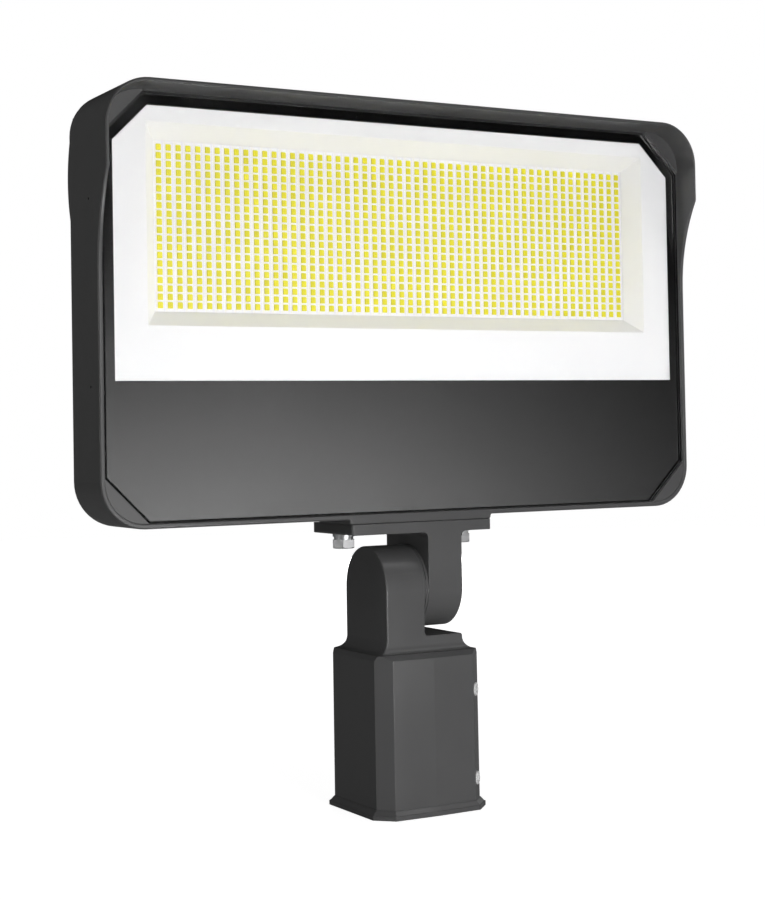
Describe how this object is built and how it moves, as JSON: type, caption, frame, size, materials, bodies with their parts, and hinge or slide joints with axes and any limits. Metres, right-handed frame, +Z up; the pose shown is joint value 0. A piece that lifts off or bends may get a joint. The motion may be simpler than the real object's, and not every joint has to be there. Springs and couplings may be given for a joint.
{
  "type": "flood light",
  "caption": "Outdoor LED flood light: hooded rectangular head with a flat glass pane and arched cooling fins, tilting on a toothed knuckle above a slipfitter pole socket.",
  "frame": {"origin": "middle of the pole socket's mouth, on the socket's axis, at the lower end of the slipfitter", "axes": "+Z up along the pole socket; -Y is the front, the way the light shines with the head upright; +X is to the right of a person who looks at the front"},
  "size_m": [0.4182, 0.0827, 0.4362],
  "materials": {
    "grey_paint": "fine-textured satin powder coat, dark grey",
    "zinc_steel": "bright zinc",
    "clear_glass": "polished, flat, toughened",
    "black_enamel": "black enamel printed on the back of the pane",
    "black_silicone": "matt",
    "white_reflector": "white, smooth",
    "white_board": "white solder mask",
    "phosphor": "yellow phosphor coat",
    "grey_pad": "soft grey thermal pad",
    "driver_aluminium": "plain extrusion",
    "black_plastic": "black nylon",
    "white_plastic": "white nylon",
    "lead_insulation": "dark lead insulation"
  },
  "bodies": {
    "slipfitter": {"slipfitter_body": "grey_paint", "set_screws": "zinc_steel", "pivot_bolt": "zinc_steel", "pivot_washer": "zinc_steel", "pivot_lock_washer": "zinc_steel"},
    "head": {"knuckle_arm": "grey_paint", "flange_bolts": "zinc_steel", "flange_washers": "zinc_steel", "flange_lock_washers": "zinc_steel", "housing": "grey_paint", "lens_glass": "clear_glass", "glass_print": "black_enamel", "lens_seal": "black_silicone", "reflector": "white_reflector", "reflector_screws": "zinc_steel", "led_board": "white_board", "led_emitters": "phosphor", "thermal_pad": "grey_pad", "board_screws": "zinc_steel", "board_connector": "white_plastic", "driver_case": "driver_aluminium", "driver_end_caps": "black_plastic", "driver_screws": "zinc_steel", "driver_leads": "lead_insulation", "led_leads": "lead_insulation", "terminal_block": "white_plastic", "supply_gland": "black_plastic", "gland_nut": "black_plastic", "gland_seal": "black_silicone", "gland_locknut": "black_plastic", "breather_vent": "black_plastic"}
  },
  "joints": [
    {"name": "head_tilt", "type": "hinge", "parent": "slipfitter", "child": "head", "pos_m": [0, 0, 0.137], "axis": [1, 0, 0], "range_deg": [-90, 90]}
  ]
}
